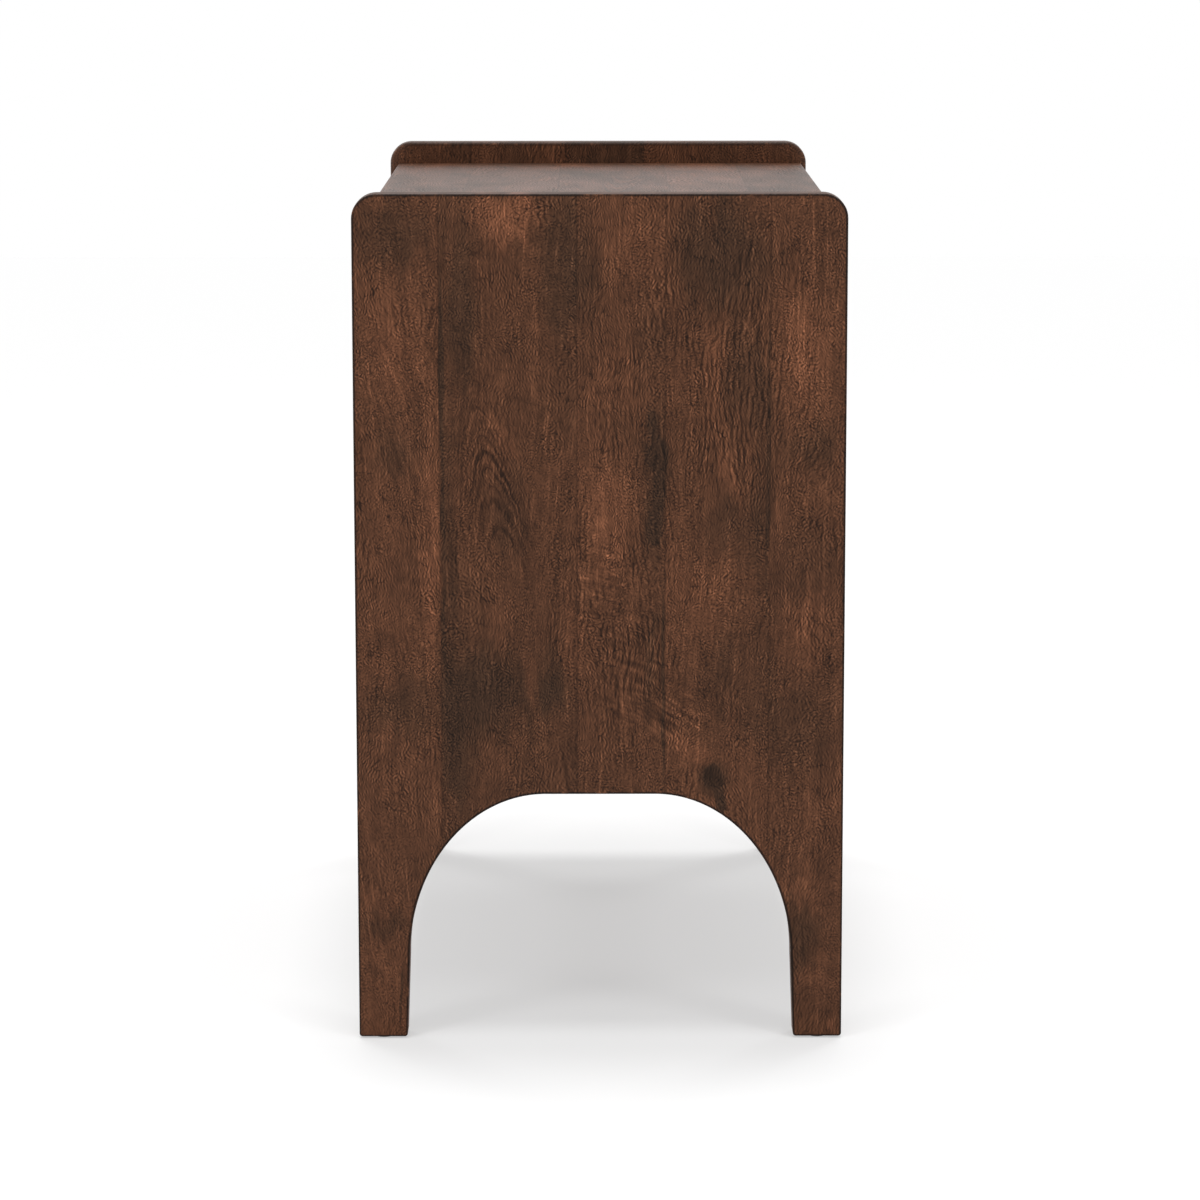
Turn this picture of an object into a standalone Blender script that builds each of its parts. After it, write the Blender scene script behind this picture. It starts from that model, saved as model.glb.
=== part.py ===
"""Nightstand: two arched side panels, a recessed top and two dovetailed drawers on telescopic slides.

The origin is on the floor under the middle of the case. X runs across the case, Y from front to back, Z up.
"""

import math

import bmesh
import bpy
from mathutils import Matrix, Vector

# Overall size, in metres
WIDTH = 0.700
DEPTH = 0.400
HEIGHT = 0.700

# Gap left between touching pieces
GAP = 0.0003

# Fineness of the meshes
ROUND_STEPS = 3
FLAT_ANGLE = math.radians(0.1)
WELD = 1e-6
EMPTY_SIZE = 0.05

# Side panels
PANEL_THICKNESS = 0.025
CORNER_RADIUS = 0.020
ARCH_HEIGHT = 0.207
ARCH_FLAT = 0.090
SHOULDER_HEIGHT = 0.137
FOOT_WIDTH = 0.040
LEG_TAPER = 0.0025
OUTER_ROUND = 0.002
FRONT_ROUND = 0.008
BACK_ROUND = 0.005
TOP_ROUND = 0.003
CORNER_STEPS = 8
SHOULDER_STEPS = 18

# Top and bottom boards, each with a tongue at both ends
TOP_RECESS = 0.020
TOP_THICKNESS = 0.022
BOTTOM_RISE = 0.013
BOTTOM_THICKNESS = 0.020
FRONT_INSET = 0.008
BACK_INSET = 0.005
BOARD_ROUND = 0.0015
TONGUE_THICKNESS = 0.010
TONGUE_LENGTH = 0.008
TONGUE_SETBACK = 0.015

# Back panel, held in a groove all round
BACK_THICKNESS = 0.009
BACK_SETBACK = 0.013
BACK_GROOVE = 0.007

# Divider rail and its dowels
RAIL_THICKNESS = 0.020
RAIL_DEPTH = 0.060
DOWEL_DIAMETER = 0.008
DOWEL_LENGTH = 0.036
DOWEL_IN_PANEL = 0.014
DOWEL_SPACING = 0.032
DOWEL_CHAMFER = 0.001
DOWEL_SIDES = 12

# Foot glides
GLIDE_DIAMETER = 0.018
GLIDE_THICKNESS = 0.004
GLIDE_PROUD = 0.0015
GLIDE_CHAMFER = 0.0008
STEM_DIAMETER = 0.004
STEM_LENGTH = 0.014
GLIDE_STEPS = 20

# Drawer faces, each with a finger scoop in its upper edge
REVEAL = 0.0025
FACE_THICKNESS = 0.020
FACE_ROUND = 0.0015
SCOOP_WIDTH = 0.130
SCOOP_FLAT = 0.050
SCOOP_DEPTH = 0.026
SCOOP_LIP = 0.004
SCOOP_STEPS = 8
LIP_STEPS = 3

# Drawer boxes
BOX_WALL = 0.012
BOX_ROOM_BELOW = 0.012
BOX_ROOM_ABOVE = 0.045
BOX_ROOM_BEHIND = 0.020
BASE_THICKNESS = 0.006
BASE_RISE = 0.010
BASE_GROOVE = 0.005
TAIL_COUNT = 4
TAIL_SLOPE = 1 / 6
PIN_WIDTH = 0.009

# Telescopic slides
SLIDE_HEIGHT = 0.045
SLIDE_THICKNESS = 0.0127
SLIDE_SETBACK = 0.004
SLIDE_ROOM_BEHIND = 0.026
SHEET = 0.0012
LIP = 0.0024
BEND = 0.0009
BALL_DIAMETER = 0.0032
BALL_PLAY = 0.0001
BALLS_PER_ROW = 4
BALL_SIDES = 8
BALL_RINGS = 4
CAGE_LENGTH = 0.130
CAGE_SHEET = 0.0005
CAGE_PLAY = 0.0003
CAGE_END = 0.008

# Faces and edges of the case
FRONT_Y = -DEPTH / 2
BACK_Y = DEPTH / 2
CASE_FRONT_Y = FRONT_Y + FRONT_INSET
CASE_BACK_Y = BACK_Y - BACK_INSET
BACK_PANEL_Y = BACK_Y - BACK_SETBACK - BACK_THICKNESS / 2
INSIDE_BACK_Y = BACK_PANEL_Y - BACK_THICKNESS / 2
INNER_X = WIDTH / 2 - PANEL_THICKNESS
PANEL_X = WIDTH / 2 - PANEL_THICKNESS / 2
TOP_Z = HEIGHT - TOP_RECESS
TOP_UNDER_Z = TOP_Z - TOP_THICKNESS
BOTTOM_UNDER_Z = ARCH_HEIGHT + BOTTOM_RISE
BOTTOM_Z = BOTTOM_UNDER_Z + BOTTOM_THICKNESS
BAY_HEIGHT = (TOP_UNDER_Z - BOTTOM_Z - RAIL_THICKNESS) / 2
RAIL_Z = BOTTOM_Z + BAY_HEIGHT

# Drawer box, measured from the front of the face and the floor of the bay
BOX_HALF_WIDTH = INNER_X - SLIDE_THICKNESS - 2 * GAP
BOX_FRONT_Y = FACE_THICKNESS + GAP
BOX_BACK_Y = INSIDE_BACK_Y - CASE_FRONT_Y - BOX_ROOM_BEHIND
BOX_LENGTH = BOX_BACK_Y - BOX_FRONT_Y
BOX_HEIGHT = BAY_HEIGHT - BOX_ROOM_BELOW - BOX_ROOM_ABOVE
BOX_MIDDLE_Y = (BOX_FRONT_Y + BOX_BACK_Y) / 2
BOX_MIDDLE_Z = BOX_ROOM_BELOW + BOX_HEIGHT / 2

# Slide section, measured from the panel's face towards the drawer and up from the slide's middle
SLIDE_LENGTH = BOX_LENGTH - SLIDE_SETBACK - SLIDE_ROOM_BEHIND
SLIDE_MIDDLE_Y = BOX_FRONT_Y + SLIDE_SETBACK + SLIDE_LENGTH / 2
RACE = BALL_DIAMETER + 2 * BALL_PLAY
OUTER_FLANGE = SLIDE_HEIGHT / 2 - SHEET / 2
MIDDLE_FLANGE = OUTER_FLANGE - SHEET - RACE
INNER_FLANGE = MIDDLE_FLANGE - SHEET - RACE
OUTER_WEB = SHEET / 2
OUTER_CAGE_WEB = SHEET + CAGE_PLAY + CAGE_SHEET / 2
MIDDLE_WEB = OUTER_CAGE_WEB + CAGE_SHEET / 2 + CAGE_PLAY + SHEET / 2
INNER_CAGE_WEB = MIDDLE_WEB + SHEET / 2 + CAGE_PLAY + CAGE_SHEET / 2
INNER_TIP = INNER_CAGE_WEB + CAGE_SHEET / 2 + CAGE_PLAY
INNER_WEB = SLIDE_THICKNESS - SHEET / 2
LIP_TIP = INNER_WEB - SHEET - CAGE_PLAY
CAGE_TIP = LIP_TIP - SHEET / 2 - CAGE_PLAY
BALL_CENTRE = CAGE_TIP - BALL_DIAMETER / 2

# Turns that stand a flat outline up: across X, or along Y
FACING_RIGHT = (math.radians(90), 0, math.radians(90))
FACING_LEFT = (math.radians(90), 0, math.radians(-90))
FACING_FRONT = (math.radians(90), 0, 0)
UPRIGHT = (0, 0, 0)

# The two sides of the case, with the sign of X on each
SIDES = {"right": 1, "left": -1}


# Scene, materials and objects

def clear_scene():
    for old in list(bpy.data.objects):
        bpy.data.objects.remove(old, do_unlink=True)


def new_collection(name):
    collection = bpy.data.collections.new(name)
    bpy.context.scene.collection.children.link(collection)
    return collection


def new_material(name, colour, roughness, metallic):
    material = bpy.data.materials.new(name)
    material.use_nodes = True
    shader = material.node_tree.nodes["Principled BSDF"]
    shader.inputs["Base Color"].default_value = (*colour, 1)
    shader.inputs["Roughness"].default_value = roughness
    shader.inputs["Metallic"].default_value = metallic
    return material


def new_empty(name, location, parent=None):
    empty = bpy.data.objects.new(name, None)
    parts.objects.link(empty)
    empty.empty_display_size = EMPTY_SIZE
    empty.parent = parent
    empty.location = location
    return empty


def new_part(name, mesh, material, parent, location, turn=UPRIGHT):
    """An object of the model, at a place measured from its parent."""
    part = bpy.data.objects.new(name, mesh.copy())
    part.data.name = name
    part.data.materials.append(material)
    parts.objects.link(part)
    part.parent = parent
    part.location = location
    part.rotation_euler = turn
    return part


def new_tool(name, mesh, parent, location, turn=UPRIGHT):
    """A hidden shape that cuts a part or is joined to it."""
    tool = bpy.data.objects.new(name, mesh.copy())
    cutters.objects.link(tool)
    tool.hide_render = True
    tool.display_type = "WIRE"
    tool.parent = parent
    tool.location = location
    tool.rotation_euler = turn
    return tool


def add_boolean(part, tool, operation):
    modifier = part.modifiers.new(tool.name, "BOOLEAN")
    modifier.operation = operation
    modifier.solver = "EXACT"
    modifier.object = tool


def cut(part, tool):
    add_boolean(part, tool, "DIFFERENCE")


def join(part, tool):
    add_boolean(part, tool, "UNION")


def round_edges(part, radius, limit):
    modifier = part.modifiers.new("Rounded edges", "BEVEL")
    modifier.width = radius
    modifier.segments = ROUND_STEPS
    modifier.limit_method = limit


# Meshes, each built round its own origin

def mesh_from(bm, name):
    mesh = bpy.data.meshes.new(name)
    bm.to_mesh(mesh)
    bm.free()
    return mesh


def block(size):
    bm = bmesh.new()
    bmesh.ops.create_cube(bm, size=1, matrix=Matrix.Diagonal((*size, 1)))
    return mesh_from(bm, "block")


def eased_board(size, radius):
    """A board whose long front and back arrises are rounded."""
    bm = bmesh.new()
    bmesh.ops.create_cube(bm, size=1, matrix=Matrix.Diagonal((*size, 1)))
    long_edges = [e for e in bm.edges if e.verts[0].co.x * e.verts[1].co.x < 0]
    bmesh.ops.bevel(bm, geom=long_edges, offset=radius, segments=ROUND_STEPS, profile=0.5, affect="EDGES")
    return mesh_from(bm, "board")


def grown(size, amount):
    return tuple(side + 2 * amount for side in size)


def rod(diameter, length, chamfer):
    """A round rod along Z with chamfered ends."""
    bm = bmesh.new()
    bmesh.ops.create_cone(bm, cap_ends=True, segments=DOWEL_SIDES,
                          radius1=diameter / 2, radius2=diameter / 2, depth=length)
    if chamfer > 0:
        rims = [e for e in bm.edges if e.verts[0].co.z * e.verts[1].co.z > 0]
        bmesh.ops.bevel(bm, geom=rims, offset=chamfer, segments=1, affect="EDGES")
    return mesh_from(bm, "rod")


def curve_mesh(points, half_depth, closed):
    """The mesh of a flat poly curve drawn in XY and extruded both ways along Z."""
    curve = bpy.data.curves.new("outline", "CURVE")
    curve.dimensions = "2D" if closed else "3D"
    if closed:
        curve.fill_mode = "BOTH"
    curve.extrude = half_depth
    spline = curve.splines.new("POLY")
    spline.points.add(len(points) - 1)
    for point, (x, y) in zip(spline.points, points):
        point.co = (x, y, 0, 1)
    spline.use_cyclic_u = closed
    holder = bpy.data.objects.new("outline", curve)
    bpy.context.scene.collection.objects.link(holder)
    graph = bpy.context.evaluated_depsgraph_get()
    mesh = bpy.data.meshes.new_from_object(holder.evaluated_get(graph))
    bpy.data.objects.remove(holder, do_unlink=True)
    return mesh


def plate(points, thickness):
    """A flat plate with the given outline and one face on each side."""
    mesh = curve_mesh(points, thickness / 2, closed=True)
    bm = bmesh.new()
    bm.from_mesh(mesh)
    bmesh.ops.remove_doubles(bm, verts=bm.verts, dist=WELD)
    bmesh.ops.dissolve_limit(bm, angle_limit=FLAT_ANGLE, verts=bm.verts, edges=bm.edges)
    return mesh_from(bm, "plate")


def folded_sheet(line, length):
    """An open sheet that follows a folded line, to be thickened."""
    mesh = curve_mesh(line, length / 2, closed=False)
    bm = bmesh.new()
    bm.from_mesh(mesh)
    bmesh.ops.remove_doubles(bm, verts=bm.verts, dist=WELD)
    return mesh_from(bm, "sheet")


def ellipse_arc(centre, radii, start, end, steps):
    """Points on an elliptical arc between two angles in degrees."""
    points = []
    for i in range(steps + 1):
        angle = math.radians(start + (end - start) * i / steps)
        points.append((centre[0] + radii[0] * math.cos(angle), centre[1] + radii[1] * math.sin(angle)))
    return points


def mirrored(half):
    """A closed outline from its right half, listed from the middle outwards and back to the middle."""
    return half + [(-x, y) for x, y in reversed(half)]


# Side panels

def panel_outline():
    """The panel seen from its side: Y across and Z up."""
    foot_y = BACK_Y - FOOT_WIDTH
    leg_y = foot_y - LEG_TAPER
    spring_z = ARCH_HEIGHT - SHOULDER_HEIGHT
    shoulder_radii = (leg_y - ARCH_FLAT / 2, SHOULDER_HEIGHT)
    shoulder = ellipse_arc((ARCH_FLAT / 2, spring_z), shoulder_radii, 90, 0, SHOULDER_STEPS)
    foot = [(foot_y, GLIDE_PROUD), (BACK_Y, GLIDE_PROUD)]
    corner_centre = (BACK_Y - CORNER_RADIUS, HEIGHT - CORNER_RADIUS)
    corner = ellipse_arc(corner_centre, (CORNER_RADIUS, CORNER_RADIUS), 0, 90, CORNER_STEPS)
    return mirrored(shoulder + foot + corner)


def is_outer_rim(point):
    """True on the front, top and back edges of the panel, false on the arch and under the feet."""
    return abs(point.x) > BACK_Y - GAP or point.y > HEIGHT - CORNER_RADIUS


def inner_round(point, front):
    """The round on the inner arris of the outer rim: full at the front, less at the back, least along the top."""
    side_round = FRONT_ROUND if point.x * front > 0 else BACK_ROUND
    straight = BACK_Y - CORNER_RADIUS
    upright = max(0, (abs(point.x) - straight) / CORNER_RADIUS) ** 2
    return TOP_ROUND + (side_round - TOP_ROUND) * upright


def weigh_panel_edges(mesh, front):
    """Gives each arris its share of the front round; front is the sign of the plate's X at the front of the case."""
    weights = mesh.attributes.new("bevel_weight_edge", "FLOAT", "EDGE")
    for edge in mesh.edges:
        ends = [mesh.vertices[i].co for i in edge.vertices]
        middle = (ends[0] + ends[1]) / 2
        along_face = abs(ends[0].z - ends[1].z) < GAP
        sharp_corner = not along_face and ends[0].y < GLIDE_PROUD + GAP
        if along_face and middle.z < 0 and is_outer_rim(middle):
            weights.data[edge.index].value = inner_round(middle, front) / FRONT_ROUND
        elif along_face or sharp_corner:
            weights.data[edge.index].value = OUTER_ROUND / FRONT_ROUND


def make_side_panels(wood):
    panels = {}
    for side, turn in (("right", FACING_RIGHT), ("left", FACING_LEFT)):
        mesh = plate(panel_outline(), PANEL_THICKNESS)
        weigh_panel_edges(mesh, -SIDES[side])
        panel = new_part(f"{side}_side_panel", mesh, wood, root, (SIDES[side] * PANEL_X, 0, 0), turn)
        round_edges(panel, FRONT_ROUND, "WEIGHT")
        panels[side] = panel
    return panels


# Top, bottom, back and divider rail

def make_housed_board(name, wood, panels, under_z, thickness):
    """A board between the panels, with a tongue at each end that sits in their grooves."""
    middle_y = (CASE_FRONT_Y + CASE_BACK_Y) / 2
    middle_z = under_z + thickness / 2
    size = (2 * (INNER_X - GAP), CASE_BACK_Y - CASE_FRONT_Y, thickness)
    board = new_part(name, eased_board(size, BOARD_ROUND), wood, root, (0, middle_y, middle_z))
    tongue_front = CASE_FRONT_Y + TONGUE_SETBACK
    tongue_back = INSIDE_BACK_Y - TONGUE_SETBACK
    tongue_size = (2 * (INNER_X + TONGUE_LENGTH), tongue_back - tongue_front, TONGUE_THICKNESS)
    tongue_place = (0, (tongue_front + tongue_back) / 2, middle_z)
    join(board, new_tool(f"{name}_tongues", block(tongue_size), root, tongue_place))
    housing = new_tool(f"{name}_housing", block(grown(tongue_size, GAP)), root, tongue_place)
    for panel in panels.values():
        cut(panel, housing)
    return board


def make_back_panel(wood, neighbours):
    size = (2 * (INNER_X + BACK_GROOVE), BACK_THICKNESS, TOP_UNDER_Z - BOTTOM_Z + 2 * BACK_GROOVE)
    place = (0, BACK_PANEL_Y, (TOP_UNDER_Z + BOTTOM_Z) / 2)
    new_part("back_panel", block(size), wood, root, place)
    groove = new_tool("back_panel_groove", block(grown(size, GAP)), root, place)
    for neighbour in neighbours:
        cut(neighbour, groove)


def make_divider_rail(wood, dowel_wood, panels):
    size = (2 * (INNER_X - GAP), RAIL_DEPTH, RAIL_THICKNESS)
    middle_y = CASE_FRONT_Y + RAIL_DEPTH / 2
    middle_z = RAIL_Z + RAIL_THICKNESS / 2
    rail = new_part("divider_rail", eased_board(size, BOARD_ROUND), wood, root, (0, middle_y, middle_z))
    dowel = rod(DOWEL_DIAMETER, DOWEL_LENGTH, DOWEL_CHAMFER)
    hole = rod(DOWEL_DIAMETER + 2 * GAP, DOWEL_LENGTH + 2 * GAP, 0)
    lying = (0, math.radians(90), 0)
    for side, panel in panels.items():
        middle_x = SIDES[side] * (INNER_X + DOWEL_IN_PANEL - DOWEL_LENGTH / 2)
        for row, shift in (("front", -DOWEL_SPACING / 2), ("back", DOWEL_SPACING / 2)):
            place = (middle_x, middle_y + shift, middle_z)
            name = f"{side}_{row}_rail_dowel"
            new_part(name, dowel, dowel_wood, root, place, lying)
            tool = new_tool(f"{name}_hole", hole, root, place, lying)
            cut(rail, tool)
            cut(panel, tool)


# Foot glides

def glide_profile(play):
    """The turned outline of a glide or, grown by a play, of the hole it sits in."""
    stem = STEM_DIAMETER / 2 + play
    flange = GLIDE_DIAMETER / 2 + play
    top = GLIDE_THICKNESS + STEM_LENGTH + play
    shoulder = GLIDE_THICKNESS + play
    return [(0, top), (stem, top), (stem, shoulder), (flange, shoulder),
            (flange, GLIDE_CHAMFER - play), (flange - GLIDE_CHAMFER, -play), (0, -play)]


def turn_profile(part):
    modifier = part.modifiers.new("Turned", "SCREW")
    modifier.axis = "Z"
    modifier.steps = GLIDE_STEPS
    modifier.render_steps = GLIDE_STEPS
    modifier.use_merge_vertices = True
    modifier.merge_threshold = WELD
    modifier.use_normal_calculate = True


def profile_mesh(points):
    bm = bmesh.new()
    verts = [bm.verts.new((x, 0, z)) for x, z in points]
    for first, second in zip(verts, verts[1:]):
        bm.edges.new((first, second))
    return mesh_from(bm, "profile")


def make_glides(plastic, panels):
    glide = profile_mesh(glide_profile(0))
    hole = profile_mesh(glide_profile(GAP))
    middle_y = BACK_Y - FOOT_WIDTH / 2
    for side, panel in panels.items():
        for end, place_y in (("front", -middle_y), ("back", middle_y)):
            name = f"{end}_{side}_foot_glide"
            place = (SIDES[side] * PANEL_X, place_y, 0)
            turn_profile(new_part(name, glide, plastic, root, place))
            tool = new_tool(f"{name}_hole", hole, root, place)
            turn_profile(tool)
            cut(panel, tool)


# Drawers

def face_outline():
    """A drawer face seen from the front, X across and Z up from the floor of the bay."""
    half = INNER_X - REVEAL
    top = BAY_HEIGHT - REVEAL
    lip_z = top - SCOOP_LIP
    radii = ((SCOOP_WIDTH - SCOOP_FLAT) / 2, SCOOP_DEPTH - SCOOP_LIP)
    scoop = ellipse_arc((SCOOP_FLAT / 2, lip_z), radii, -90, 0, SCOOP_STEPS)
    lip_centre = (SCOOP_WIDTH / 2 + SCOOP_LIP, lip_z)
    lip = ellipse_arc(lip_centre, (SCOOP_LIP, SCOOP_LIP), 180, 90, LIP_STEPS)
    return mirrored(scoop + lip[1:] + [(half, top), (half, REVEAL)])


def tail_board_outline(play):
    """A drawer side with tails at each end or, grown by a play, the sockets it cuts in the pin boards."""
    pitch = BOX_HEIGHT / TAIL_COUNT
    end = BOX_LENGTH / 2 + play
    root_y = BOX_LENGTH / 2 - BOX_WALL - GAP
    tip_half = (pitch - PIN_WIDTH) / 2 + play
    root_half = tip_half - (end - root_y) * TAIL_SLOPE
    half = [(root_y, -BOX_HEIGHT / 2)]
    for i in range(TAIL_COUNT):
        middle = -BOX_HEIGHT / 2 + (i + 0.5) * pitch
        half.append((root_y, middle - root_half))
        half.append((end, middle - tip_half))
        half.append((end, middle + tip_half))
        half.append((root_y, middle + root_half))
    half.append((root_y, BOX_HEIGHT / 2))
    return mirrored(half)


def make_face(name, drawer, wood):
    mesh = plate(face_outline(), FACE_THICKNESS)
    face = new_part(f"{name}_drawer_face", mesh, wood, drawer, (0, FACE_THICKNESS / 2, 0), FACING_FRONT)
    round_edges(face, FACE_ROUND, "ANGLE")


def make_box(name, drawer, wood):
    """Two tail boards at the sides, and a pin board at each end that they are let into."""
    boards = []
    sockets = []
    side_mesh = plate(tail_board_outline(0), BOX_WALL)
    socket_mesh = plate(tail_board_outline(GAP), BOX_WALL + 2 * GAP)
    for side, sign in SIDES.items():
        place = (sign * (BOX_HALF_WIDTH - BOX_WALL / 2), BOX_MIDDLE_Y, BOX_MIDDLE_Z)
        boards.append(new_part(f"{name}_drawer_{side}_side", side_mesh, wood, drawer, place, FACING_RIGHT))
        sockets.append(new_tool(f"{name}_drawer_{side}_sockets", socket_mesh, drawer, place, FACING_RIGHT))
    pin_board = block((2 * BOX_HALF_WIDTH, BOX_WALL, BOX_HEIGHT))
    for end, place_y in (("front", BOX_FRONT_Y + BOX_WALL / 2), ("back", BOX_BACK_Y - BOX_WALL / 2)):
        board = new_part(f"{name}_drawer_{end}", pin_board, wood, drawer, (0, place_y, BOX_MIDDLE_Z))
        for socket in sockets:
            cut(board, socket)
        boards.append(board)
    return boards


def make_base(name, drawer, wood, boards):
    """The drawer's bottom, held in a groove of all four boards."""
    inset = BOX_WALL - BASE_GROOVE
    size = (2 * (BOX_HALF_WIDTH - inset), BOX_LENGTH - 2 * inset, BASE_THICKNESS)
    place = (0, BOX_MIDDLE_Y, BOX_ROOM_BELOW + BASE_RISE + BASE_THICKNESS / 2)
    new_part(f"{name}_drawer_base", block(size), wood, drawer, place)
    groove = new_tool(f"{name}_drawer_base_groove", block(grown(size, GAP)), drawer, place)
    for board in boards:
        cut(board, groove)


# Telescopic slides

def channel_line(web, flange, tip, lip):
    """The middle line of a channel's sheet, from its upper tip round the web to its lower tip."""
    step = BEND if tip > web else -BEND
    upper = [(tip - step, flange), (web + step, flange), (web, flange - BEND)]
    if lip > 0:
        upper = [(tip, flange - lip), (tip, flange - BEND)] + upper
    return upper + [(x, -y) for x, y in reversed(upper)]


def make_channel(name, line, sheet, length, steel, parent, place, sign):
    """A folded channel along Y. The sign turns its open side to the right or the left."""
    mesh = folded_sheet([(-sign * x, y) for x, y in line], length)
    channel = new_part(name, mesh, steel, parent, place, FACING_FRONT)
    thickness = channel.modifiers.new("Sheet", "SOLIDIFY")
    thickness.thickness = sheet
    thickness.offset = 0
    thickness.use_even_offset = True
    return channel


def ball_rows(height, sign):
    """An upper and a lower row of balls, drawn with the slide's length along Z."""
    bm = bmesh.new()
    first = -CAGE_LENGTH / 2 + CAGE_END
    pitch = (CAGE_LENGTH - 2 * CAGE_END) / (BALLS_PER_ROW - 1)
    upright = Matrix.Rotation(math.radians(90), 4, "X")
    for level in (height, -height):
        for i in range(BALLS_PER_ROW):
            place = Matrix.Translation(Vector((-sign * BALL_CENTRE, level, first + i * pitch)))
            bmesh.ops.create_uvsphere(bm, u_segments=BALL_SIDES, v_segments=BALL_RINGS,
                                      radius=BALL_DIAMETER / 2, matrix=place @ upright)
    return mesh_from(bm, "balls")


def make_cage(name, web, height, steel, parent, place, sign):
    """A folded strip that carries two rows of balls."""
    line = channel_line(web, height, CAGE_TIP + BEND, 0)
    cage = make_channel(name, line, CAGE_SHEET, CAGE_LENGTH, steel, parent, place, sign)
    join(cage, new_tool(f"{name}_balls", ball_rows(height, sign), parent, place, FACING_FRONT))


def make_slides(name, drawer, zinc, steel):
    """The pair of slides of one drawer. Members that move together hang on one empty."""
    middles = new_empty(f"{name}_middle_members", drawer.location, root)
    outer_cages = new_empty(f"{name}_outer_cages", drawer.location, root)
    inner_cages = new_empty(f"{name}_inner_cages", drawer.location, root)
    fixed = new_empty(f"{name}_cabinet_members", drawer.location, root)
    outer_line = channel_line(OUTER_WEB, OUTER_FLANGE, LIP_TIP, LIP)
    middle_line = channel_line(MIDDLE_WEB, MIDDLE_FLANGE, LIP_TIP, LIP)
    inner_line = channel_line(INNER_WEB, INNER_FLANGE, INNER_TIP, 0)
    outer_ball_height = (OUTER_FLANGE + MIDDLE_FLANGE) / 2
    inner_ball_height = (MIDDLE_FLANGE + INNER_FLANGE) / 2
    for side, sign in SIDES.items():
        place = (sign * (INNER_X - GAP), SLIDE_MIDDLE_Y, BOX_MIDDLE_Z)
        slide = f"{name}_{side}_slide"
        make_channel(f"{slide}_outer", outer_line, SHEET, SLIDE_LENGTH, zinc, fixed, place, sign)
        make_channel(f"{slide}_middle", middle_line, SHEET, SLIDE_LENGTH, zinc, middles, place, sign)
        make_channel(f"{slide}_inner", inner_line, SHEET, SLIDE_LENGTH, zinc, drawer, place, sign)
        make_cage(f"{slide}_outer_cage", OUTER_CAGE_WEB, outer_ball_height, steel, outer_cages, place, sign)
        make_cage(f"{slide}_inner_cage", INNER_CAGE_WEB, inner_ball_height, steel, inner_cages, place, sign)


# Build

clear_scene()
parts = new_collection("nightstand")
cutters = new_collection("nightstand_cutters")
root = new_empty("nightstand_case", (0, 0, 0))

stained_wood = new_material("stained_wood", (0.092, 0.043, 0.026), 0.45, 0)
plain_wood = new_material("plain_wood", (0.300, 0.170, 0.085), 0.55, 0)
back_board = new_material("back_board", (0.070, 0.034, 0.021), 0.60, 0)
base_board = new_material("base_board", (0.340, 0.210, 0.115), 0.60, 0)
zinc_steel = new_material("zinc_steel", (0.480, 0.490, 0.500), 0.35, 1)
ball_steel = new_material("ball_steel", (0.620, 0.620, 0.620), 0.20, 1)
nylon = new_material("nylon", (0.030, 0.028, 0.026), 0.50, 0)

side_panels = make_side_panels(stained_wood)
top_board = make_housed_board("top_board", stained_wood, side_panels, TOP_UNDER_Z, TOP_THICKNESS)
bottom_board = make_housed_board("bottom_board", stained_wood, side_panels, BOTTOM_UNDER_Z, BOTTOM_THICKNESS)
make_back_panel(back_board, [*side_panels.values(), top_board, bottom_board])
make_divider_rail(stained_wood, plain_wood, side_panels)
make_glides(nylon, side_panels)

for drawer_name, bay_floor_z in (("lower", BOTTOM_Z), ("upper", RAIL_Z + RAIL_THICKNESS)):
    drawer_empty = new_empty(f"{drawer_name}_drawer", (0, CASE_FRONT_Y, bay_floor_z), root)
    make_face(drawer_name, drawer_empty, stained_wood)
    box_boards = make_box(drawer_name, drawer_empty, plain_wood)
    make_base(drawer_name, drawer_empty, base_board, box_boards)
    make_slides(drawer_name, drawer_empty, zinc_steel, ball_steel)
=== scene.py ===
import math

import bmesh
import bpy
from mathutils import Matrix, Vector


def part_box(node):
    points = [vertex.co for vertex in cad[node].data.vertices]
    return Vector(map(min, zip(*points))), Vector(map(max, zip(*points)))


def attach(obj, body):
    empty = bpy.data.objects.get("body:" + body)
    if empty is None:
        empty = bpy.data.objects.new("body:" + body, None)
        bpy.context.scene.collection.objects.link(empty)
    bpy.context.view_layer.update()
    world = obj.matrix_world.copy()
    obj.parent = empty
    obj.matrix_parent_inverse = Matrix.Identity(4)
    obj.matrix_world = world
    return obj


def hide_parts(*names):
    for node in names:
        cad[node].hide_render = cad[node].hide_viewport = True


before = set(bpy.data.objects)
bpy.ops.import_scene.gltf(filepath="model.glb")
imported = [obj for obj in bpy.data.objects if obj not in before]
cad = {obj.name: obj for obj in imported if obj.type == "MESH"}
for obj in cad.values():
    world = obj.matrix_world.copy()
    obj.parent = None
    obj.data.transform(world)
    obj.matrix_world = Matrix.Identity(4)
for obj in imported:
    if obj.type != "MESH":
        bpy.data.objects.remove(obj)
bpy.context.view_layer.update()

# Sizes, in metres; the places of boards and drawers come from the loaded nodes
SIDES = {"right": 1, "left": -1}
DRAWERS = ("upper", "lower")
CORNER_RADIUS = 0.020
ARCH_HEIGHT = 0.207
ARCH_FLAT = 0.090
SHOULDER_HEIGHT = 0.137
FOOT_WIDTH = 0.040
LEG_TAPER = 0.0025
FOOT_CORNER = 0.0025
OUTER_ROUND = 0.0018
FRONT_ROUND = 0.0080
TOP_ROUND = 0.0030
BACK_ROUND = 0.0050
ARCH_ROUND = 0.0020
FOOT_ROUND = 0.0012
ROUND_FADE = 0.035
BOARD_ROUND = 0.0016
RIM_WIDTH = 0.0020
RIM_INSET = 0.0007
BUTT_ROUND = 0.0002
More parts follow.
